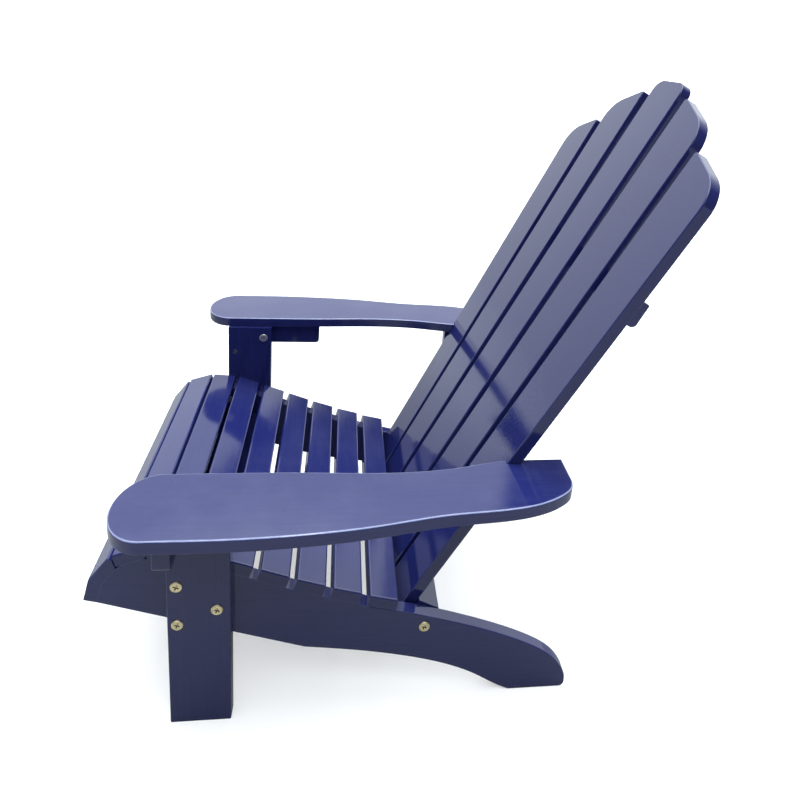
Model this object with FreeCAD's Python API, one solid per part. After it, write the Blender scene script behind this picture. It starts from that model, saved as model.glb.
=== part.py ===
"""Adirondack chair in painted timber: one STEP file per board or per set of like fasteners.

Frame, in millimetres: +Z is up, the chair faces -Y, and +X is the sitter's left.
While the boards are laid out, Y = 0 is the front edge of the front legs and Z = 0 is the floor.
main() then moves everything so that the origin is the middle of the chair's footprint, on the floor.
"""
import FreeCAD, Part
import math
import os

V = FreeCAD.Vector

# ---------------------------------------------------------------- driving sizes
BOARD = 20.0                 # thickness of every board unless said otherwise
EASE = 2.0                   # radius sanded on the long edges
SEAT_EASE = 3.0              # the same on the tops of the seat slats
HALF_SEAT = 240.0            # centre line to the outer face of a side rail = half a seat slat

LEG_WIDTH = 94.0
ARM_UNDER = 431.0            # height of the arms' underside, which is the legs' top

SLAT_WIDTH = 48.0            # seat slats
APRON_LEAN = 14.9            # degrees, top leaning back
APRON_FOOT = (-127.0, 224.0)           # front lower edge of the apron (Y, Z)
SEAT_SLATS = (                         # front top edge (Y, Z) and slope in degrees, front to back
    (-118.0, 260.5, 52.5), (-83.0, 302.5, 17.0), (-31.5, 316.5, -4.5),
    (24.0, 311.5, -20.0), (80.5, 290.2, -20.5), (136.5, 268.3, -20.3),
    (192.5, 247.2, -17.7), (249.8, 227.8, -15.2), (308.6, 209.6, -13.0))

SLAT_GAP = 2.0               # least gap kept between two slats' lower corners
HUMPED_SLATS = 4             # slats over the rounded front of the rails
BEARING = (0.15, 0.9)        # the part of each of those slats' undersides that bears on the rail

BACK_LEAN = 27.0             # degrees from upright
BACK_FOOT = 279.4            # where the front plane of the back would meet the floor (Y)
BACK_BOTTOM = 160.0          # lower end of the back slats, measured up the slope
MID_TOP, NEXT_TOP, OUTER_TOP = 1166.0, 1142.0, 1063.0   # inner top corner of each slat, up the slope
TOP_SLOPE = 24.0             # degrees, outward slope of the four side slats' tops
FAN = ((0.0, 0.0), (88.4, 1.76), (175.4, 3.38))   # centre at the bottom end (X) and splay in degrees
SLAT_FOOT_WIDTH = 78.5       # back slat width at its lower end
SLAT_FLARE = 0.0165          # growth in width per mm up the slope

LOWER_RAIL = (158.0, 208.0, 40.0)      # lower edge, upper edge, thickness, up the slope of the back
BATTEN = (792.0, 834.0, 13.0)
ARM_RAIL_LOW = 440.0
ARM_RAIL_HALF = 239.0
BATTEN_HALF = 256.0
NOTCH_GAP = 1.0              # between an arm and the back slat that passes it

CLEAT = (22.0, 55.0, 200.0, 45.0)      # thickness, front Y, rear Y, height
BRACKET = (70.0, 3.5, 28.5, 69.0)      # reach, front Y, rear Y, height
REAR_BLOCK = (22.0, 489.0, 556.0, 45.0)     # thickness, front Y, rear Y, height
STRETCHER = (-26.0, 92.0)                # front and rear Y of the board between the rails, under the seat

LEG_BOLTS = ((15.0, 264.0), (15.0, 193.0))   # (Y, Z) on each leg, into cap nuts
STRETCHER_BOLT = (74.0, 219.0)         # the third bolt, through to the stretcher
STRETCHER_DOWEL = (26.0, 219.0)
RAIL_BOLT = (184.0, 42.0)              # up the slope, and behind the front plane of the back
CLEAT_BOLT = (77.0, 407.0)
BRACKET_SCREW = (14.5, 372.0)

BOLT_R = 3.0
HEAD_R = 9.0
HEAD_H = 2.2
CLEAR = 0.1                            # radial clearance of a fastener in its hole

INNER = HALF_SEAT - BOARD              # inner face of a side rail
OUTER = HALF_SEAT + BOARD              # outer face of a front leg
SINB, COSB = math.sin(math.radians(BACK_LEAN)), math.cos(math.radians(BACK_LEAN))


# ---------------------------------------------------------------- small tools
def polar(angle, length=1.0):
    a = math.radians(angle)
    return (math.cos(a) * length, math.sin(a) * length)


def crossing(p, a, q, b):
    """Point where the line through p at angle a meets the line through q at angle b, in (Y, Z)."""
    (ux, uy), (vx, vy) = polar(a), polar(b)
    t = ((q[0] - p[0]) * vy - (q[1] - p[1]) * vx) / (ux * vy - uy * vx)
    return (p[0] + ux * t, p[1] + uy * t)


def in_back(x, s, t):
    """A point given across the chair, up the slope of the back, and behind its front plane."""
    return V(x, BACK_FOOT + s * SINB + t * COSB, s * COSB - t * SINB)


def face_of(points):
    return Part.Face(Part.makePolygon(list(points) + [points[0]]))


def side_board(points, x0, x1):
    """A board cut to a (Y, Z) outline and running across the chair from x0 to x1."""
    return face_of([V(x0, y, z) for y, z in points]).extrude(V(x1 - x0, 0, 0))


def eased(solid, radius, wanted):
    """Round the edges for which wanted(edge) is true."""
    edges = [e for e in solid.Edges if wanted(e)]
    return solid.makeFillet(radius, edges) if edges else solid


def along_x(edge):
    a, b = edge.Vertexes[0].Point, edge.Vertexes[-1].Point
    return len(edge.Vertexes) == 2 and abs(a.y - b.y) < 0.01 and abs(a.z - b.z) < 0.01


def mirrored(solid):
    return solid.mirror(V(0, 0, 0), V(1, 0, 0))


def rod(start, direction, length, radius):
    return Part.makeCylinder(radius, length, start, direction)


def unit(v):
    return v.multiply(1.0 / v.Length) if v.Length else v


# ---------------------------------------------------------------- fasteners
def cross_slot(start, direction, depth, reach, width=1.2):
    """Cutter for a cross recess that goes down from start along direction, with a dished middle."""
    arms = []
    for turn in (20, 110):
        bar = Part.makeBox(2 * reach, width, depth + 1.0, V(-reach, -width / 2, -1.0))
        bar.rotate(V(0, 0, 0), V(0, 0, 1), turn)
        arms.append(bar)
    tool = arms[0].fuse([arms[1], Part.makeCone(0.6 * reach, 0.2 * reach, depth, V(0, 0, 0), V(0, 0, 1))])
    tool.Placement = FreeCAD.Placement(start, FreeCAD.Rotation(V(0, 0, 1), direction))
    return tool


def furniture_bolt(seat, direction, length):
    """Wide low-headed bolt: seat is the middle of the surface under its head."""
    d = V(direction)
    back = V(d).multiply(-1)
    head = rod(seat, back, HEAD_H, HEAD_R)
    crown = [e for e in head.Edges
             if isinstance(e.Curve, Part.Circle) and abs((e.Curve.Center - seat).dot(back) - HEAD_H) < 0.01]
    head = head.makeFillet(1.3, crown)
    top = seat + V(back).multiply(HEAD_H)
    solid = head.fuse(rod(seat, d, length, BOLT_R)).removeSplitter()
    return solid.cut(cross_slot(top, d, 2.0, 4.4, 2.0))


def cap_nut(seat, direction, length):
    """Flanged sleeve nut: seat is the middle of the surface under its flange."""
    d = V(direction)
    back = V(d).multiply(-1)
    solid = rod(seat, back, 1.5, 8.5).fuse(rod(seat, d, length, 4.5)).removeSplitter()
    return solid.cut(rod(seat + V(back).multiply(0.1), d, length + 1.0, BOLT_R + 0.05))


def wood_screw(head_face, direction, length, radius=2.0, head=4.0):
    """Countersunk screw: head_face is the middle of its flat head, level with the timber."""
    d = V(direction)
    cone = Part.makeCone(head, radius, head - radius, head_face, d)
    body = rod(head_face + V(d).multiply(head - radius), d, length - (head - radius) - 3.0, radius)
    tip = Part.makeCone(radius, 0.4, 3.0, head_face + V(d).multiply(length - 3.0), d)
    solid = cone.fuse([body, tip]).removeSplitter()
    return solid.cut(cross_slot(head_face, d, 1.2, 1.9))


def screw_hole(head_face, direction, length, radius=2.0, head=4.0):
    """The timber's hole for wood_screw, a hair larger all round."""
    d = V(direction)
    start = head_face - V(d).multiply(1.0)
    cone = Part.makeCone(head + 1.0 + CLEAR, radius + CLEAR, head - radius + 1.0, start, d)
    return cone.fuse(rod(head_face, d, length + 1.0, radius + CLEAR))


# ---------------------------------------------------------------- seat
def slat_corners(index):
    """Top front, top rear, bottom rear, bottom front of a seat slat, in (Y, Z)."""
    y, z, slope = SEAT_SLATS[index]
    along, down = polar(slope, SLAT_WIDTH), polar(slope - 90.0, BOARD)
    top_rear = (y + along[0], z + along[1])
    return [(y, z), top_rear, (top_rear[0] + down[0], top_rear[1] + down[1]), (y + down[0], z + down[1])]


def rail_nose():
    """Upper front corner of the side rails, where the first slat's underside meets the apron."""
    lean = polar(-APRON_LEAN, BOARD)
    apron_back = (APRON_FOOT[0] + lean[0], APRON_FOOT[1] + lean[1])
    return apron_back, crossing(apron_back, 90.0 - APRON_LEAN, slat_corners(0)[2], SEAT_SLATS[0][2])


def slat_outline(index):
    """Cross-section of a seat slat: where two lean together, the front one's lower corner is trimmed."""
    corners = slat_corners(index)
    slope = SEAT_SLATS[index][2]
    if index + 1 < len(SEAT_SLATS):
        y, z, ahead = SEAT_SLATS[index + 1]
        back = polar(ahead, -SLAT_GAP)
        limit, face = (y + back[0], z + back[1]), ahead - 90.0
        under = crossing(corners[2], slope, limit, face)
        if under[0] < corners[2][0]:
            corners[2:3] = [crossing(corners[1], slope - 90.0, limit, face), under]
    if index == 0:
        corners[-1] = rail_nose()[1]             # the first slat is bevelled to sit on the apron
    return corners


def seat_slat(index):
    corners = slat_outline(index)
    solid = side_board(corners, -HALF_SEAT, HALF_SEAT)

    def on_top(edge):
        return all(any(abs(v.Point.y - c[0]) + abs(v.Point.z - c[1]) < 0.02 for c in corners[:2])
                   for v in edge.Vertexes)

    return eased(solid, SEAT_EASE, on_top)


def front_apron():
    back_low, back_high = rail_nose()
    top_front = SEAT_SLATS[0][:2]
    solid = side_board([APRON_FOOT, top_front, back_high, back_low], -HALF_SEAT, HALF_SEAT)
    return eased(solid, EASE, lambda e: along_x(e)
                 and abs(e.Vertexes[0].Point.y - APRON_FOOT[0]) < 0.02)


def side_rail():
    """Left side rail: straight under the slats, curved down to a flat rear foot."""
    low, nose = rail_nose()
    top = [nose]
    for i in range(len(SEAT_SLATS)):             # bears on each slat, with a short flat between them
        (y0, z0), (y1, z1) = slat_outline(i)[-1], slat_outline(i)[-2]
        shares = BEARING if i < HUMPED_SLATS else (0, 1)
        top += [(y0 + (y1 - y0) * k, z0 + (z1 - z0) * k) for k in shares[(i == 0):]]
    slope = SEAT_SLATS[-1][2]
    x = INNER

    def p(y, z):
        return V(x, y, z)

    wires = [Part.makePolygon([p(*low)] + [p(*q) for q in top])]
    end, round_r = 656.5, 10.0
    heel, toe, kink = (end - round_r, 0.0), (557.0, 0.0), (213.5, 112.3)
    back_curve = Part.BSplineCurve()
    back_curve.interpolate(Points=[p(*top[-1]), p(440, 154.0), p(528, 122.0), p(594, 90.5),
                                   p(630, 64.0), p(650, 37.0), p(end, round_r)],
                           InitialTangent=p(*polar(slope)) - p(0, 0), FinalTangent=V(0, 0, -1))
    arch = Part.BSplineCurve()
    arch.interpolate(Points=[p(*toe), p(526, 16.5), p(492, 38.5), p(454, 57.5), p(380, 82.0),
                             p(305, 98.5), p(*kink)])
    turn = round_r * (1 - math.cos(math.radians(45)))
    corner = Part.Arc(p(end, round_r), p(end - turn, turn), p(*heel))
    edges = [e for w in wires for e in w.Edges]
    edges += [back_curve.toShape(), corner.toShape(),
              Part.makeLine(p(*heel), p(*toe)), arch.toShape(), Part.makeLine(p(*kink), p(*low))]
    solid = Part.Face(Part.Wire(Part.__sortEdges__(edges))).extrude(V(BOARD, 0, 0))
    behind = top[-1][0]

    def exposed(edge):
        mid = edge.valueAt((edge.FirstParameter + edge.LastParameter) / 2)
        in_plane = abs(mid.x - INNER) < 0.01 or abs(mid.x - HALF_SEAT) < 0.01
        return in_plane and not along_x(edge) and mid.z > 13.0 and (mid.y > behind + 1.0)

    return eased(solid, EASE, exposed)


# ---------------------------------------------------------------- legs and arms
def front_leg():
    solid = Part.makeBox(BOARD, LEG_WIDTH, ARM_UNDER, V(HALF_SEAT, 0, 0))

    def upright_outer(edge):
        a, b = edge.Vertexes[0].Point, edge.Vertexes[-1].Point
        return abs(a.z - b.z) > 100 and a.x > OUTER - 0.1

    return eased(solid, EASE, upright_outer)


def arm():
    """Left arm: a paddle with a half-oval nose, tapering to a clipped rear end notched round the back."""
    z = ARM_UNDER

    def p(x, y):
        return V(x, y, z)

    half_nose, nose_out, nose_y = 61.0, 54.5, 2.0
    mid_nose = 308.5
    inner_nose, outer_nose = (mid_nose - half_nose, nose_y), (mid_nose + half_nose, nose_y)
    rear_in, rear_out = (227.5, 600.0), (272.0, 600.0)
    oval = Part.Ellipse(p(*outer_nose), p(mid_nose, nose_y - nose_out), p(mid_nose, nose_y))
    front = Part.ArcOfEllipse(oval, 0, math.pi)
    inner = Part.BSplineCurve()
    inner.interpolate(Points=[p(*inner_nose), p(248.5, 200), p(252.0, 330), p(243, 433), p(232, 490),
                              p(228, 540), p(*rear_in)], InitialTangent=V(0, 1, 0), FinalTangent=V(0, 1, 0))
    outer = Part.BSplineCurve()
    outer.interpolate(Points=[p(*outer_nose), p(370, 94), p(365.5, 200), p(354, 305), p(338, 404),
                              p(329, 503), p(305, 577), p(*rear_out)],
                      InitialTangent=V(0, 1, 0), FinalTangent=V(-1, 0, 0))
    edges = [front.toShape(), outer.toShape(), Part.makeLine(p(*rear_out), p(*rear_in)), inner.toShape()]
    solid = Part.Face(Part.Wire(Part.__sortEdges__(edges))).extrude(V(0, 0, BOARD))
    top = ARM_UNDER + BOARD
    solid = eased(solid, 2.5, lambda e: all(abs(v.Point.z - top) < 0.01 for v in e.Vertexes))
    solid = eased(solid, 1.2, lambda e: all(abs(v.Point.z - ARM_UNDER) < 0.01 for v in e.Vertexes))
    return solid.cut(outer_slat_space(NOTCH_GAP))


def arm_cleat():
    """Block under the arm, along it, on the leg's outer face."""
    thick, y0, y1, tall = CLEAT
    solid = Part.makeBox(thick, y1 - y0, tall, V(OUTER, y0, ARM_UNDER - tall))
    return eased(solid, 7.0, lambda e: along_x(e)
                 and e.Vertexes[0].Point.y > y1 - 0.1 and e.Vertexes[0].Point.z < ARM_UNDER - 1)


def arm_bracket():
    """Block under the arm's overhang, across it, on the leg's outer face."""
    reach, y0, y1, tall = BRACKET
    low = ARM_UNDER - tall
    solid = Part.makeBox(reach, y1 - y0, tall, V(OUTER, y0, low))

    def outer_low(edge):
        a, b = edge.Vertexes[0].Point, edge.Vertexes[-1].Point
        return abs(a.x - b.x) < 0.01 and abs(a.z - b.z) < 0.01 and a.x > OUTER + 1 and a.z < low + 1

    return eased(eased(solid, 8.0, outer_low), EASE,
                 lambda e: along_x(e) and e.Vertexes[0].Point.z < low + 0.5)


def arm_rear_block():
    """Block under the arm's rear, beside the back; the arm rail is screwed between the two of them."""
    thick, y0, y1, tall = REAR_BLOCK
    solid = Part.makeBox(thick, y1 - y0, tall, V(ARM_RAIL_HALF, y0, ARM_UNDER - tall))
    return eased(solid, 4.0, lambda e: along_x(e) and e.Vertexes[0].Point.z < ARM_UNDER - 1)


# ---------------------------------------------------------------- back
def slat_half_width(s):
    return (SLAT_FOOT_WIDTH + SLAT_FLARE * (s - BACK_BOTTOM)) / 2.0


def back_slat(place):
    """place is -2 to 2, from the sitter's right to left; the side slats lean outward like a fan."""
    foot, splay = FAN[abs(place)]
    top = (MID_TOP, NEXT_TOP, OUTER_TOP)[abs(place)]
    tan = math.tan(math.radians(splay))

    def centre(s):
        return foot + (s - BACK_BOTTOM) * tan

    def pt(x, s):
        return in_back(x, s, 0)

    drop = 0.0 if place == 0 else math.tan(math.radians(TOP_SLOPE))
    inner_top = centre(top) - slat_half_width(top)
    outer_s = top
    for _ in range(8):                           # where the sloping top meets the outer edge
        outer_s = top - (centre(outer_s) + slat_half_width(outer_s) - inner_top) * drop
    outer_top = centre(outer_s) + slat_half_width(outer_s)
    low = BACK_BOTTOM
    outline = [pt(centre(low) - slat_half_width(low), low), pt(centre(low) + slat_half_width(low), low),
               pt(outer_top, outer_s), pt(inner_top, top)]
    solid = face_of(outline).extrude(in_back(0, 0, BOARD) - in_back(0, 0, 0))

    def through(edge, corner):
        a, b = edge.Vertexes[0].Point, edge.Vertexes[-1].Point
        mid = (a + b).multiply(0.5)
        target = corner + (in_back(0, 0, BOARD / 2) - in_back(0, 0, 0))
        return (mid - target).Length < 0.5

    if place == 0:
        solid = eased(solid, 22.0, lambda e: through(e, outline[2]) or through(e, outline[3]))
    else:
        solid = eased(solid, 56.0, lambda e: through(e, outline[2]))
        solid = eased(solid, 5.0, lambda e: through(e, outline[3]))
    normal = in_back(0, 0, 1) - in_back(0, 0, 0)
    origin = in_back(0, 0, 0)

    def on_face(edge):
        depths = [(v.Point - origin).dot(normal) for v in edge.Vertexes]
        return max(depths) < 0.01 or min(depths) > BOARD - 0.01

    solid = eased(solid, EASE, on_face)
    return mirrored(solid) if place < 0 else solid


def outer_slat_space(gap):
    """The room that the left outer back slat needs where it passes the arm."""
    foot, splay = FAN[2]
    low, high = 380.0, 620.0
    edge = [foot + (s - BACK_BOTTOM) * math.tan(math.radians(splay)) + slat_half_width(s) + gap for s in (low, high)]
    outline = [in_back(200, low, -gap), in_back(edge[0], low, -gap), in_back(edge[1], high, -gap),
               in_back(200, high, -gap)]
    return face_of(outline).extrude(in_back(0, 0, BOARD + gap) - in_back(0, 0, -gap))


def back_board(s0, s1, thick, half):
    outline = [in_back(-half, s, t) for s, t in ((s0, BOARD), (s1, BOARD), (s1, BOARD + thick), (s0, BOARD + thick))]
    return face_of(outline).extrude(V(2 * half, 0, 0))


def lower_back_rail():
    s0, s1, thick = LOWER_RAIL
    solid = back_board(s0, s1, thick, INNER)
    return eased(solid, EASE, along_x)


def arm_rail():
    """Cross rail behind the slats, its top edge cut level under the arms."""
    low = ARM_RAIL_LOW

    def top_at(t):
        return (ARM_UNDER + t * SINB) / COSB

    half = ARM_RAIL_HALF
    outline = [in_back(-half, s, t) for s, t in ((low, BOARD), (top_at(BOARD), BOARD),
                                                 (top_at(2 * BOARD), 2 * BOARD), (low, 2 * BOARD))]
    return face_of(outline).extrude(V(2 * half, 0, 0))


def upper_batten():
    s0, s1, thick = BATTEN
    solid = back_board(s0, s1, thick, BATTEN_HALF)
    rear = in_back(0, s0, BOARD + thick)
    crest = in_back(0, s1, BOARD + thick)
    solid = eased(solid, 8.0, lambda e: along_x(e)
                  and abs(e.Vertexes[0].Point.y - rear.y) + abs(e.Vertexes[0].Point.z - rear.z) < 0.05)
    return eased(solid, 3.0, lambda e: along_x(e)
                 and abs(e.Vertexes[0].Point.y - crest.y) + abs(e.Vertexes[0].Point.z - crest.z) < 0.05)


# ---------------------------------------------------------------- where the fasteners go
def slat_line(place, s):
    foot, splay = FAN[abs(place)]
    x = foot + (s - BACK_BOTTOM) * math.tan(math.radians(splay))
    return math.copysign(x, place) if place else 0.0


def back_screws(s, behind, length):
    """Two screws into each back slat, from the rear face that is behind the front plane."""
    direction = in_back(0, 0, -1) - in_back(0, 0, 0)
    return [(in_back(slat_line(place, s) + side, s + 6 * math.copysign(1, side), behind), direction, length)
            for place in range(-2, 3) for side in (-22.0, 22.0)]


def seat_nails():
    """Two pins through each slat end into the rail, set below the slat's top and filled over."""
    pins = []
    for i, (y, z, slope) in enumerate(SEAT_SLATS):
        down = polar(slope - 90.0)
        for share in (0.3, 0.72):
            along = polar(slope, SLAT_WIDTH * share)
            for side in (-1, 1):
                start = V(side * (HALF_SEAT - BOARD / 2), y + along[0] + 3 * down[0], z + along[1] + 3 * down[1])
                pins.append((start, V(0, *down), 38.0))
    return pins


def apron_nails():
    pins = []
    for share in (0.3, 0.75):
        up = polar(90.0 - APRON_LEAN, 36.0 * share)
        back = polar(-APRON_LEAN)
        for side in (-1, 1):
            start = V(side * (HALF_SEAT - BOARD / 2), APRON_FOOT[0] + up[0] + 3 * back[0],
                      APRON_FOOT[1] + up[1] + 3 * back[1])
            pins.append((start, V(0, *back), 38.0))
    return pins


def both_sides(items):
    """(start, direction, ...) for the left side, repeated for the right."""
    out = []
    for start, direction, *rest in items:
        out.append((start, direction, *rest))
        out.append((V(-start.x, start.y, start.z), V(-direction.x, direction.y, direction.z), *rest))
    return out


def stretcher():
    """Flat board between the side rails, under the seat and level with the third leg bolts."""
    y0, y1 = STRETCHER
    z = STRETCHER_BOLT[1] - BOARD / 2
    solid = Part.makeBox(2 * INNER, y1 - y0, BOARD, V(-INNER, y0, z))
    return eased(solid, EASE, along_x)


def drilled(solid, cutters):
    near = [c for c in cutters if c.BoundBox.intersect(solid.BoundBox)]
    return solid.cut(near).removeSplitter() if near else solid


# ---------------------------------------------------------------- the chair
def make_parts():
    parts = {"left_rail": side_rail(), "left_leg": front_leg(), "left_arm": arm(),
             "left_arm_cleat": arm_cleat(), "left_arm_bracket": arm_bracket(),
             "left_arm_rear_block": arm_rear_block()}
    for name in list(parts):
        parts[name.replace("left", "right")] = mirrored(parts[name])
    parts["front_apron"] = front_apron()
    for i in range(len(SEAT_SLATS)):
        parts["seat_slat_%d" % (i + 1)] = seat_slat(i)
    for place, name in zip(range(-2, 3), ("far_right", "right", "middle", "left", "far_left")):
        parts["back_slat_" + name] = back_slat(place)
    parts["seat_stretcher"] = stretcher()
    parts["lower_back_rail"] = lower_back_rail()
    parts["arm_rail"] = arm_rail()
    parts["upper_back_batten"] = upper_batten()

    into, out = V(-1, 0, 0), V(1, 0, 0)
    leg_bolts = both_sides([(V(OUTER, y, z), into, 34.0) for y, z in LEG_BOLTS])
    cap_nuts = both_sides([(V(INNER, y, z), out, 22.0) for y, z in LEG_BOLTS])
    seat = in_back(HALF_SEAT, *RAIL_BOLT)
    rail_bolts = both_sides([(seat, into, 58.0)])
    stretcher_bolts = both_sides([(V(OUTER, *STRETCHER_BOLT), into, 78.0)])
    stretcher_nuts = both_sides([(V(OUTER - 68.0, STRETCHER_BOLT[0], STRETCHER_BOLT[1] - 9.0), V(0, 0, 1), 18.0)])
    dowels = both_sides([(V(INNER - 25.0, *STRETCHER_DOWEL), out, 40.0)])
    barrel = both_sides([(V(HALF_SEAT - 50.0, seat.y, seat.z - 12.0), V(0, 0, 1), 24.0)])
    cleat_bolts = both_sides([(V(HALF_SEAT, *CLEAT_BOLT), out, 36.0)])
    inserts = both_sides([(V(OUTER + 2.0, *CLEAT_BOLT), out, 14.0)])
    recess = 7.0
    bracket_screws = both_sides([(V(HALF_SEAT + recess, *BRACKET_SCREW), out, 48.0, 2.5, 5.0)])
    cleat_mid = OUTER + CLEAT[0] / 2
    arm_screws = both_sides([(V(cleat_mid, y, ARM_UNDER - CLEAT[3]), V(0, 0, 1), 58.0) for y in (115.0, 180.0)])
    pocket = 30.0
    bracket_low = V(OUTER + 46.0, sum(BRACKET[1:3]) / 2, ARM_UNDER - BRACKET[3])
    bracket_up = both_sides([(bracket_low + V(0, 0, pocket), V(0, 0, 1), 52.0)])
    rear_mid = ARM_RAIL_HALF + REAR_BLOCK[0] / 2
    rear_up = both_sides([(V(rear_mid, y, ARM_UNDER - REAR_BLOCK[3]), V(0, 0, 1), 58.0) for y in (500.0, 546.0)])
    rear_in = both_sides([(in_back(ARM_RAIL_HALF + REAR_BLOCK[0], s, 1.5 * BOARD), into, 55.0)
                          for s in (463.0, 478.0)])
    lower = back_screws(sum(LOWER_RAIL[:2]) / 2, BOARD + LOWER_RAIL[2], 52.0)
    middle = back_screws(462.0, 2 * BOARD, 33.0)
    upper = back_screws(sum(BATTEN[:2]) / 2, BOARD + BATTEN[2], 27.0)
    nails, front_nails = seat_nails(), apron_nails()

    cutters = []
    for start, d, length in leg_bolts:
        cutters.append(rod(start, d, 45.0, BOLT_R + CLEAR))
    for start, d, length in cap_nuts:
        cutters.append(rod(start, d, length + 0.5, 4.5 + CLEAR))
    for start, d, length in rail_bolts + cleat_bolts + stretcher_bolts:
        cutters.append(rod(start, d, length + 1.0, BOLT_R + CLEAR))
    for start, d, length in barrel:
        cutters.append(rod(start - V(0, 0, 20), d, length + 20, 5.0 + CLEAR))
    for start, d, length in inserts:
        cutters.append(rod(start - V(d).multiply(2), d, length + 2.5, 5.0 + CLEAR))
    for start, d, length, r, h in bracket_screws:
        cutters.append(screw_hole(start, d, length, r, h))
        cutters.append(rod(start - V(d).multiply(recess), d, recess, h + 0.5))
    for start, d, length in stretcher_nuts:
        cutters.append(rod(start - V(0, 0, 3), d, length + 3, 5.0 + CLEAR))
    for start, d, length in arm_screws + bracket_up + rear_up + rear_in + lower + middle + upper:
        cutters.append(screw_hole(start, d, length))
    for start, d, length in bracket_up:
        cutters.append(rod(start - V(0, 0, pocket), d, pocket, 5.0))
    for start, d, length in dowels:
        cutters.append(rod(start - V(d).multiply(0.5), d, length + 1.0, 4.0 + CLEAR))
    for start, d, length in nails + front_nails:
        cutters.append(rod(start, d, length + 0.5, 0.9 + CLEAR))
    parts = {name: drilled(solid, cutters) for name, solid in parts.items()}

    sets = {
        "leg_bolts": [furniture_bolt(*b) for b in leg_bolts],
        "leg_cap_nuts": [cap_nut(*n) for n in cap_nuts],
        "rail_bolts": [furniture_bolt(*b) for b in rail_bolts],
        "cleat_bolts": [furniture_bolt(*b) for b in cleat_bolts],
        "bracket_screws": [wood_screw(*s) for s in bracket_screws],
        "cleat_to_arm_screws": [wood_screw(*s) for s in arm_screws],
        "bracket_to_arm_screws": [wood_screw(*s) for s in bracket_up],
        "lower_rail_screws": [wood_screw(*s) for s in lower],
        "arm_rail_screws": [wood_screw(*s) for s in middle],
        "batten_screws": [wood_screw(*s) for s in upper],
        "rear_block_to_arm_screws": [wood_screw(*s) for s in rear_up],
        "rear_block_to_rail_screws": [wood_screw(*s) for s in rear_in],
        "stretcher_bolts": [furniture_bolt(*b) for b in stretcher_bolts],
        "stretcher_barrel_nuts": [rod(s, d, n, 5.0).cut(rod(V(-400, s.y, s.z + 9.0), V(1, 0, 0), 800, BOLT_R + 0.05))
                                  for s, d, n in stretcher_nuts],
        "stretcher_dowels": [rod(s, d, n, 4.0) for s, d, n in dowels],
        "seat_nails": [rod(s, d, n, 0.9) for s, d, n in nails],
        "apron_nails": [rod(s, d, n, 0.9) for s, d, n in front_nails],
        "rail_barrel_nuts": [rod(s, d, n, 5.0).cut(rod(V(-400, s.y, s.z + 12.0), V(1, 0, 0), 800, BOLT_R + 0.05))
                             for s, d, n in barrel],
        "cleat_insert_nuts": [rod(s, d, n, 5.0).cut(rod(s - V(d).multiply(1), d, n + 2, BOLT_R + 0.05))
                              for s, d, n in inserts],
    }
    for name, solids in sets.items():
        parts[name] = Part.makeCompound(solids)
    return parts


def main():
    parts = make_parts()
    boxes = [shape.optimalBoundingBox(False) for shape in parts.values()]
    front, rear = min(b.YMin for b in boxes), max(b.YMax for b in boxes)
    move = V(0, -(front + rear) / 2, 0)          # already centred across, and standing on Z = 0
    os.makedirs("parts", exist_ok=True)
    for name, shape in parts.items():
        shape.translate(move)
        shape.exportStep("parts/%s.step" % name)
        print("%-22s solids %2d  valid %s" % (name, len(shape.Solids), shape.isValid()))
    print("moved by", tuple(round(c, 3) for c in move))
    print("size", round(2 * max(b.XMax for b in boxes), 1), round(rear - front, 1),
          round(max(b.ZMax for b in boxes), 1), "lowest", round(min(b.ZMin for b in boxes), 4))


main()
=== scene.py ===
"""Looks for a painted adirondack chair: glossy navy boards, brassed bolts, a pale studio."""
import math

import bpy
from bpy.props import FloatProperty, FloatVectorProperty, PointerProperty
from mathutils import Matrix, Vector

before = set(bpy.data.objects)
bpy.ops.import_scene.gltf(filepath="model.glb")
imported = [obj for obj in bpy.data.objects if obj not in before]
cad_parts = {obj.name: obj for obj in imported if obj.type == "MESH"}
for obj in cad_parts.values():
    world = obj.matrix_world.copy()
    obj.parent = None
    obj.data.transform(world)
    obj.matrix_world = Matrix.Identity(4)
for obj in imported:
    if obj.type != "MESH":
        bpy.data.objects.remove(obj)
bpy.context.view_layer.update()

bl_info = {
    "name": "Painted Adirondack Chair",
    "version": (1, 0, 0),
    "blender": (4, 5, 0),
    "location": "View3D > Sidebar > Garden Chair",
    "description": "Paints the boards, finishes the fastenings and sets up the studio",
    "category": "Object",
}

SEAT_BOARDS = ["front_apron"] + ["seat_slat_%d" % i for i in range(1, 10)]
BACK_BOARDS = ["back_slat_" + n for n in ("far_right", "right", "middle", "left", "far_left")]
CROSS_BOARDS = ["lower_back_rail", "arm_rail", "upper_back_batten", "seat_stretcher",
                "left_arm_bracket", "right_arm_bracket"]
ARM_BOARDS = ["left_arm", "right_arm", "left_arm_cleat", "right_arm_cleat",
              "left_arm_rear_block", "right_arm_rear_block"]
RAIL_BOARDS = ["left_rail", "right_rail"]
LEG_BOARDS = ["left_leg", "right_leg"]
BRASS_PARTS = ["leg_bolts", "rail_bolts", "stretcher_bolts", "rail_barrel_nuts",
               "stretcher_barrel_nuts", "leg_cap_nuts"]
STEEL_PARTS = ["cleat_bolts", "cleat_insert_nuts", "bracket_screws", "cleat_to_arm_screws",
               "bracket_to_arm_screws", "rear_block_to_arm_screws", "rear_block_to_rail_screws",
               "lower_rail_screws", "arm_rail_screws", "batten_screws", "seat_nails", "apron_nails"]
DOWEL_PARTS = ["stretcher_dowels"]

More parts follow.
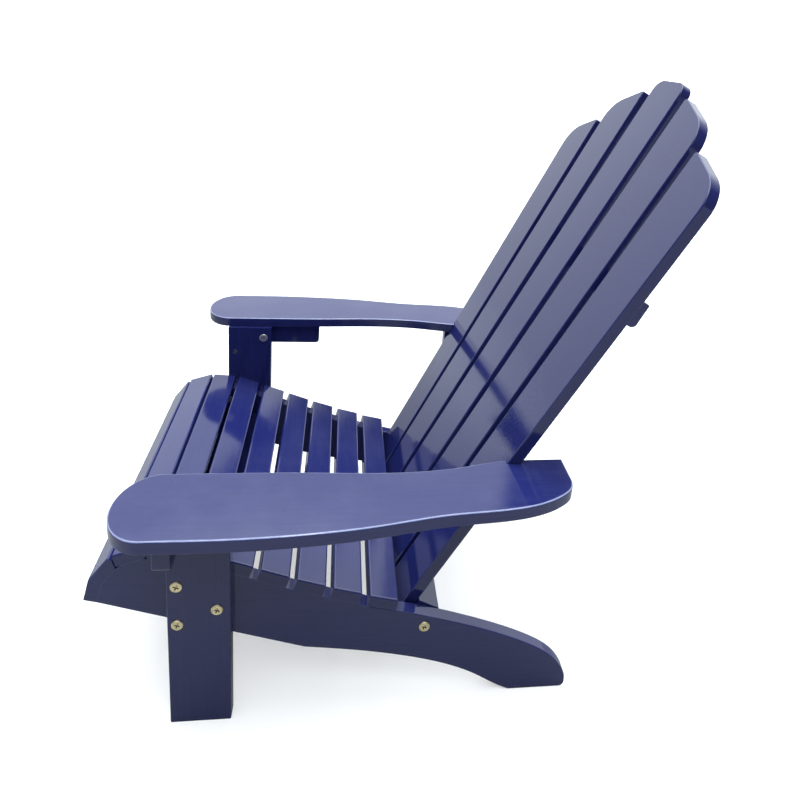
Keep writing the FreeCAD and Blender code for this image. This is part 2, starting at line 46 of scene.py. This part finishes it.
# fixed colours of the finishes
RUBBED_PAINT = (0.07, 0.085, 0.27, 1)
DUST = (0.42, 0.43, 0.47, 1)
# painted highlight: the lighter colour put on rounded upper edges
PAINTED_EDGE_HIGHLIGHT = (0.30, 0.34, 0.55, 1)
OLD_BRASS = (0.36, 0.26, 0.11, 1)
OLD_ZINC = (0.25, 0.25, 0.25, 1)
# painted shade for the recesses of bolts and screws
PAINTED_RECESS_SHADE = (0.03, 0.025, 0.03, 1)
DOWEL_DARK = (0.42, 0.27, 0.13, 1)
DOWEL_PALE = (0.68, 0.50, 0.30, 1)
FLOOR_PATCH = (0.25, 0.25, 0.245, 1)
# painted light: the floor's colour where window light falls on it
FLOOR_PAINTED_WINDOW_LIGHT = (0.50, 0.50, 0.49, 1)
LOW_LIGHT = (0.93, 0.985, 1.0, 1)
CEILING_TINT = (0.84, 0.91, 1.0, 1)
WHITE = (1, 1, 1, 1)

# the room, in metres and in directions from the chair
FLOOR_REACH, FLOOR_SIDES = 14.0, 64
PAINTED_WINDOW_POOL_SPAN = (-0.9, -2.4)     # across the chair, from plain floor to floor brightened by painted window light
POST_SLOPE, POST_MIDDLE = 0.437, -0.005   # direction of the dark post beside the window
POST_EDGES = (0.048, 0.062)        # half width of the post, and where the window starts
STRIP_SIZE = (0.3, 2.0)
STRIP_PLACE, STRIP_AIM = (1.5, 0.0, 2.4), (0, 0, 0.4)
SEEN_BACKGROUND = 3.0              # strength of the plain white behind the chair

# the camera: place in metres, turns in radians, lens in millimetres, shift in frame widths
EYE = (1.01854, -0.1145, 1.07753)
YAW, PITCH, ROLL = 0.11807, 0.23455, 0.06672
SENSOR, LENS = 36.0, 27.016
SHIFT = (-0.01196, -0.2690)

# paint and gloss
PAINT_IOR = 1.5
LACQUER_ROUGHNESS = 0.06
GRAIN_STRENGTH = 0.55
METAL_EDGE, METAL_SCRATCH = 0.0006, 0.00008
NOOK_DEPTH = 0.003                 # reach of the painted shade in a screw's recess


# ---------------------------------------------------------------- settings a user would change
class ChairPaintSettings(bpy.types.PropertyGroup):
    navy: FloatVectorProperty(
        name="Navy", description="Colour of the gloss paint", subtype="COLOR", size=3,
        min=0, max=1, default=(0.010, 0.0135, 0.082))
    navy_thin: FloatVectorProperty(
        name="Thin paint", description="Colour where the paint lies thin over the grain",
        subtype="COLOR", size=3, min=0, max=1, default=(0.017, 0.022, 0.12))
    gloss_roughness: FloatProperty(
        name="Gloss roughness", description="Roughness of the cured paint",
        subtype="FACTOR", min=0, max=1, default=0.075)
    lacquer: FloatProperty(
        name="Lacquer", description="Strength of the clear top layer",
        subtype="FACTOR", min=0, max=1, default=0.2)
    grain_height: FloatProperty(
        name="Grain height", description="How far the wood grain stands up through the paint",
        unit="LENGTH", min=0, max=0.002, default=0.0002)
    edge_width: FloatProperty(
        name="Edge width", description="Width of the rubbed edges",
        unit="LENGTH", min=0, max=0.01, default=0.0022)


class ChairHardwareSettings(bpy.types.PropertyGroup):
    brass: FloatVectorProperty(
        name="Brass", description="Colour of the brassed bolts", subtype="COLOR", size=3,
        min=0, max=1, default=(0.93, 0.82, 0.50))
    zinc: FloatVectorProperty(
        name="Zinc", description="Colour of the plated steel", subtype="COLOR", size=3,
        min=0, max=1, default=(0.62, 0.62, 0.60))
    tarnish: FloatProperty(
        name="Tarnish", description="Amount of dulling in the recesses",
        subtype="FACTOR", min=0, max=1, default=0.5)


class ChairStudioSettings(bpy.types.PropertyGroup):
    floor: FloatVectorProperty(
        name="Floor", description="Colour of the plain floor", subtype="COLOR", size=3,
        min=0, max=1, default=(0.27, 0.27, 0.265))
    floor_seen: FloatVectorProperty(
        name="Floor as seen", subtype="COLOR", size=3, min=0, max=1, default=(0.6, 0.6, 0.6),
        description="Colour of the floor where the camera looks straight at it")
    floor_glow: FloatProperty(
        name="Floor glow", min=0, max=1, default=0.42,
        description="Light given off by the floor as the camera sees it, which softens the shadow")
    room_light: FloatProperty(
        name="Room light", description="Strength of the light from low down, all round",
        min=0, max=10, default=0.12)
    ceiling_light: FloatProperty(
        name="Ceiling light", description="Extra strength towards the ceiling",
        min=0, max=10, default=5.9)
    window_light: FloatProperty(
        name="Window light", description="Strength of the window past the sitter's right arm",
        min=0, max=10, default=1.6)
    softbox_power: FloatProperty(
        name="Softbox power", description="Power of the softbox above the sitter's left arm",
        unit="POWER", min=0, max=2000, default=13)


# ---------------------------------------------------------------- node helpers
class Sheet:
    """A node tree with short calls for the nodes that the finishes are made of."""

    def __init__(self, tree):
        self.tree = tree

    def node(self, kind, **settings):
        n = self.tree.nodes.new(kind)
        for key, value in settings.items():
            setattr(n, key, value)
        return n

    def join(self, out, into):
        self.tree.links.new(out, into)

    def feed(self, socket, value):
        if isinstance(value, bpy.types.NodeSocket):
            self.join(value, socket)
        else:
            socket.default_value = value

    def math(self, op, a, b=0.0, clamp=False):
        n = self.node("ShaderNodeMath", operation=op, use_clamp=clamp)
        self.feed(n.inputs[0], a)
        self.feed(n.inputs[1], b)
        return n.outputs[0]

    def noise(self, vector, scale, detail=3.0, rough=0.5, distort=0.0):
        n = self.node("ShaderNodeTexNoise")
        self.join(vector, n.inputs["Vector"])
        n.inputs["Scale"].default_value = scale
        n.inputs["Detail"].default_value = detail
        n.inputs["Roughness"].default_value = rough
        n.inputs["Distortion"].default_value = distort
        return n.outputs["Fac"]

    def stretch(self, vector, size):
        n = self.node("ShaderNodeMapping")
        self.join(vector, n.inputs["Vector"])
        n.inputs["Scale"].default_value = size
        return n.outputs[0]

    def ramp(self, value, low, high, to_low=0.0, to_high=1.0):
        n = self.node("ShaderNodeMapRange", clamp=True)
        self.feed(n.inputs["Value"], value)
        ends = {"From Min": low, "From Max": high, "To Min": to_low, "To Max": to_high}
        for key, v in ends.items():
            self.feed(n.inputs[key], v)
        return n.outputs[0]

    def blend(self, share, a, b):
        n = self.node("ShaderNodeMix", data_type="RGBA")
        self.feed(n.inputs[0], share)
        self.feed(n.inputs[6], a)
        self.feed(n.inputs[7], b)
        return n.outputs[2]

    def group(self, tree, **values):
        n = self.node("ShaderNodeGroup")
        n.node_tree = tree
        for key, value in values.items():
            self.feed(n.inputs[key.replace("_", " ")], value)
        return n


def new_group(name, inputs, outputs):
    tree = bpy.data.node_groups.new(name, "ShaderNodeTree")
    for label, kind, value in inputs:
        s = tree.interface.new_socket(label, in_out="INPUT", socket_type=kind)
        if value is not None:
            s.default_value = value
    for label, kind in outputs:
        tree.interface.new_socket(label, in_out="OUTPUT", socket_type=kind)
    sheet = Sheet(tree)
    return sheet, sheet.node("NodeGroupInput").outputs, sheet.node("NodeGroupOutput").inputs


def painted_grain():
    """Softwood grain as it shows through paint. The board runs along the vector's X."""
    if "painted grain" in bpy.data.node_groups:
        return bpy.data.node_groups["painted grain"]
    s, inn, out = new_group(
        "painted grain",
        [("Vector", "NodeSocketVector", None), ("Board", "NodeSocketFloat", 0.0)],
        [("Height", "NodeSocketFloat"), ("Fibre", "NodeSocketFloat"),
         ("Figure", "NodeSocketFloat")])
    shift = s.node("ShaderNodeVectorMath", operation="MULTIPLY")
    s.feed(shift.inputs[0], inn["Board"])
    shift.inputs[1].default_value = (3.1, 1.7, 2.3)
    moved = s.node("ShaderNodeVectorMath", operation="ADD")
    s.join(inn["Vector"], moved.inputs[0])
    s.join(shift.outputs[0], moved.inputs[1])
    vector = moved.outputs[0]
    fibre = s.noise(s.stretch(vector, (5.0, 150.0, 150.0)), 2.2, 5.0, 0.62, 0.25)
    figure = s.node("ShaderNodeTexWave", wave_type="RINGS", rings_direction="X", wave_profile="SIN")
    s.join(s.stretch(vector, (0.6, 9.0, 9.0)), figure.inputs["Vector"])
    figure.inputs["Scale"].default_value = 3.4
    figure.inputs["Distortion"].default_value = 7.0
    figure.inputs["Detail"].default_value = 2.5
    figure.inputs["Detail Scale"].default_value = 1.3
    wander = s.noise(s.stretch(vector, (2.0, 9.0, 9.0)), 1.6, 2.0)
    peel = s.noise(vector, 420.0, 2.0, 0.4)
    rings = s.math("MULTIPLY", s.ramp(figure.outputs["Fac"], 0.15, 0.95),
                   s.ramp(wander, 0.35, 0.65))
    height = s.math("ADD", s.math("MULTIPLY", fibre, 0.55), s.math("MULTIPLY", rings, 0.05))
    height = s.math("ADD", height, s.math("MULTIPLY", wander, 1.2))
    height = s.math("ADD", height, s.math("MULTIPLY", peel, 0.1))
    s.join(height, out["Height"])
    s.join(fibre, out["Fibre"])
    s.join(rings, out["Figure"])
    return s.tree


def rubbed_edges():
    """1 along worn outer edges, 0 on the flats."""
    if "rubbed edges" in bpy.data.node_groups:
        return bpy.data.node_groups["rubbed edges"]
    s, inn, out = new_group(
        "rubbed edges",
        [("Vector", "NodeSocketVector", None), ("Width", "NodeSocketFloat", 0.002)],
        [("Mask", "NodeSocketFloat")])
    bevel = s.node("ShaderNodeBevel", samples=4)
    s.join(inn["Width"], bevel.inputs["Radius"])
    flat = s.node("ShaderNodeNewGeometry")
    turn = s.node("ShaderNodeVectorMath", operation="DOT_PRODUCT")
    s.join(bevel.outputs[0], turn.inputs[0])
    s.join(flat.outputs["Normal"], turn.inputs[1])
    edge = s.ramp(turn.outputs["Value"], 0.995, 0.86)
    broken = s.ramp(s.noise(inn["Vector"], 60.0, 4.0, 0.6), 0.42, 0.62)
    s.join(s.math("MULTIPLY", edge, broken), out["Mask"])
    return s.tree


def settled_dust():
    """Faint dust and specks on faces that look up."""
    if "settled dust" in bpy.data.node_groups:
        return bpy.data.node_groups["settled dust"]
    s, inn, out = new_group(
        "settled dust",
        [("Vector", "NodeSocketVector", None), ("Amount", "NodeSocketFloat", 0.3)],
        [("Mask", "NodeSocketFloat")])
    flat = s.node("ShaderNodeNewGeometry")
    split = s.node("ShaderNodeSeparateXYZ")
    s.join(flat.outputs["Normal"], split.inputs[0])
    upward = s.ramp(split.outputs[2], 0.35, 0.95)
    clouds = s.ramp(s.noise(inn["Vector"], 7.0, 5.0, 0.62), 0.45, 0.75)
    specks = s.node("ShaderNodeTexVoronoi", feature="F1")
    s.join(inn["Vector"], specks.inputs["Vector"])
    specks.inputs["Scale"].default_value = 95.0
    dots = s.ramp(specks.outputs["Distance"], 0.07, 0.03)
    both = s.math("ADD", s.math("MULTIPLY", clouds, 0.5), s.math("MULTIPLY", dots, 0.8), clamp=True)
    s.join(s.math("MULTIPLY", s.math("MULTIPLY", both, upward), inn["Amount"]), out["Mask"])
    return s.tree


def board_vector(sheet, turn):
    """Position on the chair, turned so that a board's length runs along X."""
    place = sheet.node("ShaderNodeTexCoord").outputs["Object"]
    n = sheet.node("ShaderNodeMapping")
    sheet.join(place, n.inputs["Vector"])
    n.inputs["Rotation"].default_value = [math.radians(a) for a in turn]
    return n.outputs[0]


# ---------------------------------------------------------------- finishes
def navy_paint(name, turn, dust=0.25, painted_edge_highlight=0.0):
    """Navy gloss on timber whose grain is brought along X by the turn.

    The edge argument paints a highlight into the colour: it lightens the rounded upper edges of
    boards that lie level or stand upright."""
    paint = bpy.context.scene.chair_paint
    m = bpy.data.materials.new(name)
    m.use_nodes = True
    m.diffuse_color = (*paint.navy, 1)
    s = Sheet(m.node_tree)
    gloss = m.node_tree.nodes["Principled BSDF"]
    vector = board_vector(s, turn)
    board = s.node("ShaderNodeObjectInfo").outputs["Random"]
    grain = s.group(painted_grain(), Vector=vector, Board=board).outputs
    edges = s.group(rubbed_edges(), Vector=vector, Width=paint.edge_width).outputs["Mask"]
    dusty = s.group(settled_dust(), Vector=vector, Amount=dust).outputs["Mask"]

    thin = s.math("ADD", s.math("MULTIPLY", s.ramp(grain["Fibre"], 0.42, 0.72), 0.35),
                  s.math("MULTIPLY", grain["Figure"], 0.12))
    thin = s.math("ADD", thin, s.math("MULTIPLY", board, 0.16), clamp=True)
    colour = s.blend(thin, (*paint.navy, 1), (*paint.navy_thin, 1))
    colour = s.blend(s.math("MULTIPLY", edges, 0.45), colour, RUBBED_PAINT)
    colour = s.blend(s.math("MULTIPLY", dusty, 0.22), colour, DUST)
    # painted highlight: the rounded upper edges get a lighter colour, as if they caught the light
    if painted_edge_highlight:
        facing = s.node("ShaderNodeSeparateXYZ")
        s.join(s.node("ShaderNodeNewGeometry").outputs["Normal"], facing.inputs[0])
        up = facing.outputs[2]
        painted_highlight_band = s.math("MULTIPLY", s.ramp(up, 0.35, 0.65), s.ramp(up, 0.97, 0.9))
        colour = s.blend(s.math("MULTIPLY", painted_highlight_band, painted_edge_highlight), colour, PAINTED_EDGE_HIGHLIGHT)
    s.join(colour, gloss.inputs["Base Color"])

    along_fibre = s.ramp(grain["Fibre"], 0.3, 0.75, paint.gloss_roughness - 0.02,
                         paint.gloss_roughness + 0.04)
    rough = s.math("ADD", along_fibre, s.math("MULTIPLY", dusty, 0.22))
    rough = s.math("ADD", rough, s.math("MULTIPLY", edges, 0.12), clamp=True)
    s.join(rough, gloss.inputs["Roughness"])

    bump = s.node("ShaderNodeBump")
    bump.inputs["Strength"].default_value = GRAIN_STRENGTH
    bump.inputs["Distance"].default_value = paint.grain_height
    s.join(grain["Height"], bump.inputs["Height"])
    s.join(bump.outputs[0], gloss.inputs["Normal"])
    gloss.inputs["IOR"].default_value = PAINT_IOR
    gloss.inputs["Coat Weight"].default_value = paint.lacquer
    gloss.inputs["Coat Roughness"].default_value = LACQUER_ROUGHNESS
    gloss.inputs["Coat IOR"].default_value = PAINT_IOR
    return m


def plated_metal(name, colour, shadow, rough):
    """Plated steel, dull in patches, scratched across, with painted shade darkening its recesses.
    """
    hardware = bpy.context.scene.chair_hardware
    m = bpy.data.materials.new(name)
    m.use_nodes = True
    m.diffuse_color = (*colour, 1)
    s = Sheet(m.node_tree)
    metal = m.node_tree.nodes["Principled BSDF"]
    place = s.node("ShaderNodeTexCoord").outputs["Object"]
    patches = s.ramp(s.noise(place, 260.0, 4.0, 0.6), 0.4, 0.68)
    scratches = s.noise(s.stretch(place, (220.0, 1500.0, 2600.0)), 1.0, 3.0, 0.6, 0.4)
    edges = s.group(rubbed_edges(), Vector=place, Width=METAL_EDGE).outputs["Mask"]
    dull = s.math("MULTIPLY", patches, hardware.tarnish)
    tone = s.blend(dull, (*colour, 1), shadow)
    # painted shade: occlusion darkens the colour in the recesses
    nook = s.node("ShaderNodeAmbientOcclusion", samples=8, only_local=True)
    nook.inputs["Distance"].default_value = NOOK_DEPTH
    recess_shade = s.ramp(nook.outputs["AO"], 0.85, 0.5)
    tone = s.blend(recess_shade, tone, PAINTED_RECESS_SHADE)
    bright = (*[min(1, c * 1.25) for c in colour], 1)
    s.join(s.blend(s.math("MULTIPLY", edges, 0.5), tone, bright), metal.inputs["Base Color"])
    s.join(s.math("ADD", s.ramp(scratches, 0.3, 0.7, rough - 0.06, rough + 0.08),
                  s.math("MULTIPLY", dull, 0.25), clamp=True), metal.inputs["Roughness"])
    metal.inputs["Metallic"].default_value = 1.0
    bump = s.node("ShaderNodeBump")
    bump.inputs["Strength"].default_value = 0.3
    bump.inputs["Distance"].default_value = METAL_SCRATCH
    s.join(scratches, bump.inputs["Height"])
    s.join(bump.outputs[0], metal.inputs["Normal"])
    return m


def bare_dowel(name):
    """Unpainted beech, seen only with the boards apart."""
    m = bpy.data.materials.new(name)
    m.use_nodes = True
    m.diffuse_color = (0.6, 0.42, 0.24, 1)
    s = Sheet(m.node_tree)
    wood = m.node_tree.nodes["Principled BSDF"]
    vector = board_vector(s, (0, 90, 0))
    grain = s.group(painted_grain(), Vector=vector, Board=0.4).outputs
    s.join(s.blend(grain["Fibre"], DOWEL_DARK, DOWEL_PALE), wood.inputs["Base Color"])
    s.join(s.ramp(grain["Fibre"], 0.2, 0.8, 0.55, 0.75), wood.inputs["Roughness"])
    return m


def finish(nodes, material):
    """Give each CAD board or fastening this finish in place of its plain one."""
    for name in nodes:
        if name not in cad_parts:
            raise RuntimeError("no such piece: " + name)
        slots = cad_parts[name].material_slots
        if not slots:
            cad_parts[name].data.materials.append(material)
        for slot in slots:
            slot.material = material


# ---------------------------------------------------------------- operators, one for each group
class CHAIR_OT_paint_seat(bpy.types.Operator):
    """Paint the apron and the nine seat slats, grain running across the chair"""
    bl_idname = "chair.paint_seat"
    bl_label = "Paint Seat"

    def execute(self, context):
        finish(SEAT_BOARDS, navy_paint("navy_gloss_across", (0, 0, 0)))
        return {"FINISHED"}


class CHAIR_OT_paint_back(bpy.types.Operator):
    """Paint the five back slats, grain running up the slope"""
    bl_idname = "chair.paint_back"
    bl_label = "Paint Back"

    def execute(self, context):
        finish(BACK_BOARDS, navy_paint("navy_gloss_slope", (0, 90, 27), dust=0.12))
        finish(CROSS_BOARDS, navy_paint("navy_gloss_cross_boards", (0, 0, 0), dust=0.2))
        return {"FINISHED"}


class CHAIR_OT_paint_arms(bpy.types.Operator):
    """Paint the arms and the blocks under them, grain running front to back"""
    bl_idname = "chair.paint_arms"
    bl_label = "Paint Arms"

    def execute(self, context):
        # the arms get a painted highlight along their rounded upper edges
        finish(ARM_BOARDS, navy_paint("navy_gloss_lengthwise", (0, 0, 90), dust=0.35,
                                      painted_edge_highlight=0.7))
        return {"FINISHED"}


class CHAIR_OT_paint_frame(bpy.types.Operator):
    """Paint the side rails and the front legs"""
    bl_idname = "chair.paint_frame"
    bl_label = "Paint Frame"

    def execute(self, context):
        finish(RAIL_BOARDS, navy_paint("navy_gloss_rails", (0, 0, 90), dust=0.2))
        finish(LEG_BOARDS, navy_paint("navy_gloss_posts", (0, 90, 0), dust=0.25))
        return {"FINISHED"}


class CHAIR_OT_finish_hardware(bpy.types.Operator):
    """Finish the brassed bolts, the plated screws and the dowels"""
    bl_idname = "chair.finish_hardware"
    bl_label = "Finish Hardware"

    def execute(self, context):
        hardware = context.scene.chair_hardware
        finish(BRASS_PARTS, plated_metal("dulled_brass", hardware.brass, OLD_BRASS, 0.3))
        finish(STEEL_PARTS, plated_metal("zinc_plate", hardware.zinc, OLD_ZINC, 0.34))
        finish(DOWEL_PARTS, bare_dowel("bare_dowel"))
        return {"FINISHED"}


class CHAIR_OT_set_studio(bpy.types.Operator):
    """Lay the plain floor, hang the soft light and place the camera"""
    bl_idname = "chair.set_studio"
    bl_label = "Set Studio"

    def execute(self, context):
        scene = context.scene
        studio = scene.chair_studio
        lay_floor(studio)
        light_room(scene, studio)
        place_camera(scene)
        return {"FINISHED"}


def lay_floor(studio):
    """A plain round floor with painted window light: its colour is brighter beyond the sitter's
    right arm, where the window is.
    """
    mesh = bpy.data.meshes.new("studio_floor")
    turns = [2 * math.pi * i / FLOOR_SIDES for i in range(FLOOR_SIDES)]
    ring = [(FLOOR_REACH * math.cos(a), FLOOR_REACH * math.sin(a), 0) for a in turns]
    mesh.from_pydata(ring, [], [list(range(FLOOR_SIDES))])
    floor = bpy.data.objects.new("studio_floor", mesh)
    bpy.context.scene.collection.objects.link(floor)
    m = bpy.data.materials.new("pale_floor")
    m.use_nodes = True
    s = Sheet(m.node_tree)
    matt = m.node_tree.nodes["Principled BSDF"]
    place = s.node("ShaderNodeTexCoord").outputs["Object"]
    tone = s.ramp(s.noise(place, 2.0, 4.0, 0.55), 0.3, 0.7, 0.985, 1.0)
    shade = s.blend(tone, FLOOR_PATCH, (*studio.floor, 1))
    across = s.node("ShaderNodeSeparateXYZ")
    s.join(place, across.inputs[0])
    # painted light: the floor's colour brightens towards the window
    shade = s.blend(s.ramp(across.outputs[0], *PAINTED_WINDOW_POOL_SPAN), shade, FLOOR_PAINTED_WINDOW_LIGHT)
    seen = s.node("ShaderNodeLightPath").outputs["Is Camera Ray"]
    s.join(s.blend(seen, shade, (*studio.floor_seen, 1)), matt.inputs["Base Color"])
    s.join(s.math("MULTIPLY", seen, studio.floor_glow), matt.inputs["Emission Strength"])
    matt.inputs["Emission Color"].default_value = WHITE
    matt.inputs["Roughness"].default_value = 0.9
    matt.inputs["Specular IOR Level"].default_value = 0.0
    mesh.materials.append(m)


def light_room(scene, studio):
    """A bright ceiling, a window past the sitter's right arm, a post beside it, and a softbox."""
    world = bpy.data.worlds.new("studio_world")
    scene.world = world
    world.use_nodes = True
    s = Sheet(world.node_tree)
    room = world.node_tree.nodes["Background"]
    split = s.node("ShaderNodeSeparateXYZ")
    s.join(s.node("ShaderNodeTexCoord").outputs["Generated"], split.inputs[0])
    across, along, up = split.outputs
    rise = s.ramp(up, 0.66, 1.0)
    window = s.math("MULTIPLY", s.ramp(across, 0.25, -0.45), s.ramp(up, -0.1, 0.35, 0.55, 1.0))
    rear = s.math("ADD", along, s.math("MULTIPLY", across, POST_SLOPE))
    post = s.ramp(s.math("ABSOLUTE", s.math("ADD", rear, -POST_MIDDLE)), *POST_EDGES)
    window = s.math("MULTIPLY", window, post)
    level = s.math("ADD", s.math("MULTIPLY", rise, studio.ceiling_light),
                   s.math("MULTIPLY", window, studio.window_light))
    level = s.math("ADD", level, studio.room_light)
    seen = s.node("ShaderNodeLightPath").outputs["Is Camera Ray"]
    s.join(s.blend(seen, s.blend(rise, LOW_LIGHT, CEILING_TINT), WHITE), room.inputs["Color"])
    plain = s.math("MULTIPLY", seen, SEEN_BACKGROUND)
    s.join(s.math("MAXIMUM", level, plain), room.inputs["Strength"])

    lamp = bpy.data.lights.new("softbox_strip", "AREA")
    lamp.shape = "RECTANGLE"
    lamp.size, lamp.size_y = STRIP_SIZE
    lamp.energy = studio.softbox_power
    strip = bpy.data.objects.new("softbox_strip", lamp)
    strip.location = STRIP_PLACE
    towards = Vector(STRIP_AIM) - Vector(STRIP_PLACE)
    strip.rotation_euler = towards.to_track_quat("-Z", "Y").to_euler()
    scene.collection.objects.link(strip)


def place_camera(scene):
    """Above and beyond the sitter's left arm, looking across the chair."""
    level = math.cos(PITCH)
    ahead = Vector((-math.cos(YAW) * level, math.sin(YAW) * level, -math.sin(PITCH)))
    side = ahead.cross(Vector((0, 0, 1))).normalized()
    up = side.cross(ahead)
    right = side * math.cos(ROLL) + up * math.sin(ROLL)
    top = up * math.cos(ROLL) - side * math.sin(ROLL)
    data = bpy.data.cameras.new("camera")
    data.sensor_width = SENSOR
    data.lens = LENS
    data.shift_x, data.shift_y = SHIFT
    data.clip_start = 0.02
    camera = bpy.data.objects.new("camera", data)
    turn = Matrix((right, top, -ahead)).transposed()
    camera.matrix_world = Matrix.Translation(EYE) @ turn.to_4x4()
    scene.collection.objects.link(camera)
    scene.camera = camera
    scene.view_settings.view_transform = "Standard"


class CHAIR_PT_sidebar(bpy.types.Panel):
    """Buttons and settings for the chair"""
    bl_idname = "CHAIR_PT_sidebar"
    bl_label = "Garden Chair"
    bl_space_type = "VIEW_3D"
    bl_region_type = "UI"
    bl_category = "Garden Chair"

    def draw(self, context):
        layout = self.layout
        scene = context.scene
        for group in (scene.chair_paint, scene.chair_hardware, scene.chair_studio):
            box = layout.box()
            for key in group.bl_rna.properties.keys():
                if key not in ("rna_type", "name"):
                    box.prop(group, key)
        for step in STEPS:
            layout.operator(step.bl_idname)


STEPS = (CHAIR_OT_paint_seat, CHAIR_OT_paint_back, CHAIR_OT_paint_arms, CHAIR_OT_paint_frame,
         CHAIR_OT_finish_hardware, CHAIR_OT_set_studio)
CLASSES = (ChairPaintSettings, ChairHardwareSettings, ChairStudioSettings, CHAIR_PT_sidebar) + STEPS


def register():
    for cls in CLASSES:
        bpy.utils.register_class(cls)
    bpy.types.Scene.chair_paint = PointerProperty(type=ChairPaintSettings)
    bpy.types.Scene.chair_hardware = PointerProperty(type=ChairHardwareSettings)
    bpy.types.Scene.chair_studio = PointerProperty(type=ChairStudioSettings)


def unregister():
    del bpy.types.Scene.chair_studio
    del bpy.types.Scene.chair_hardware
    del bpy.types.Scene.chair_paint
    for cls in reversed(CLASSES):
        bpy.utils.unregister_class(cls)


def main():
    register()
    bpy.ops.chair.paint_seat()
    bpy.ops.chair.paint_back()
    bpy.ops.chair.paint_arms()
    bpy.ops.chair.paint_frame()
    bpy.ops.chair.finish_hardware()
    bpy.ops.chair.set_studio()


if __name__ == "__main__":
    main()
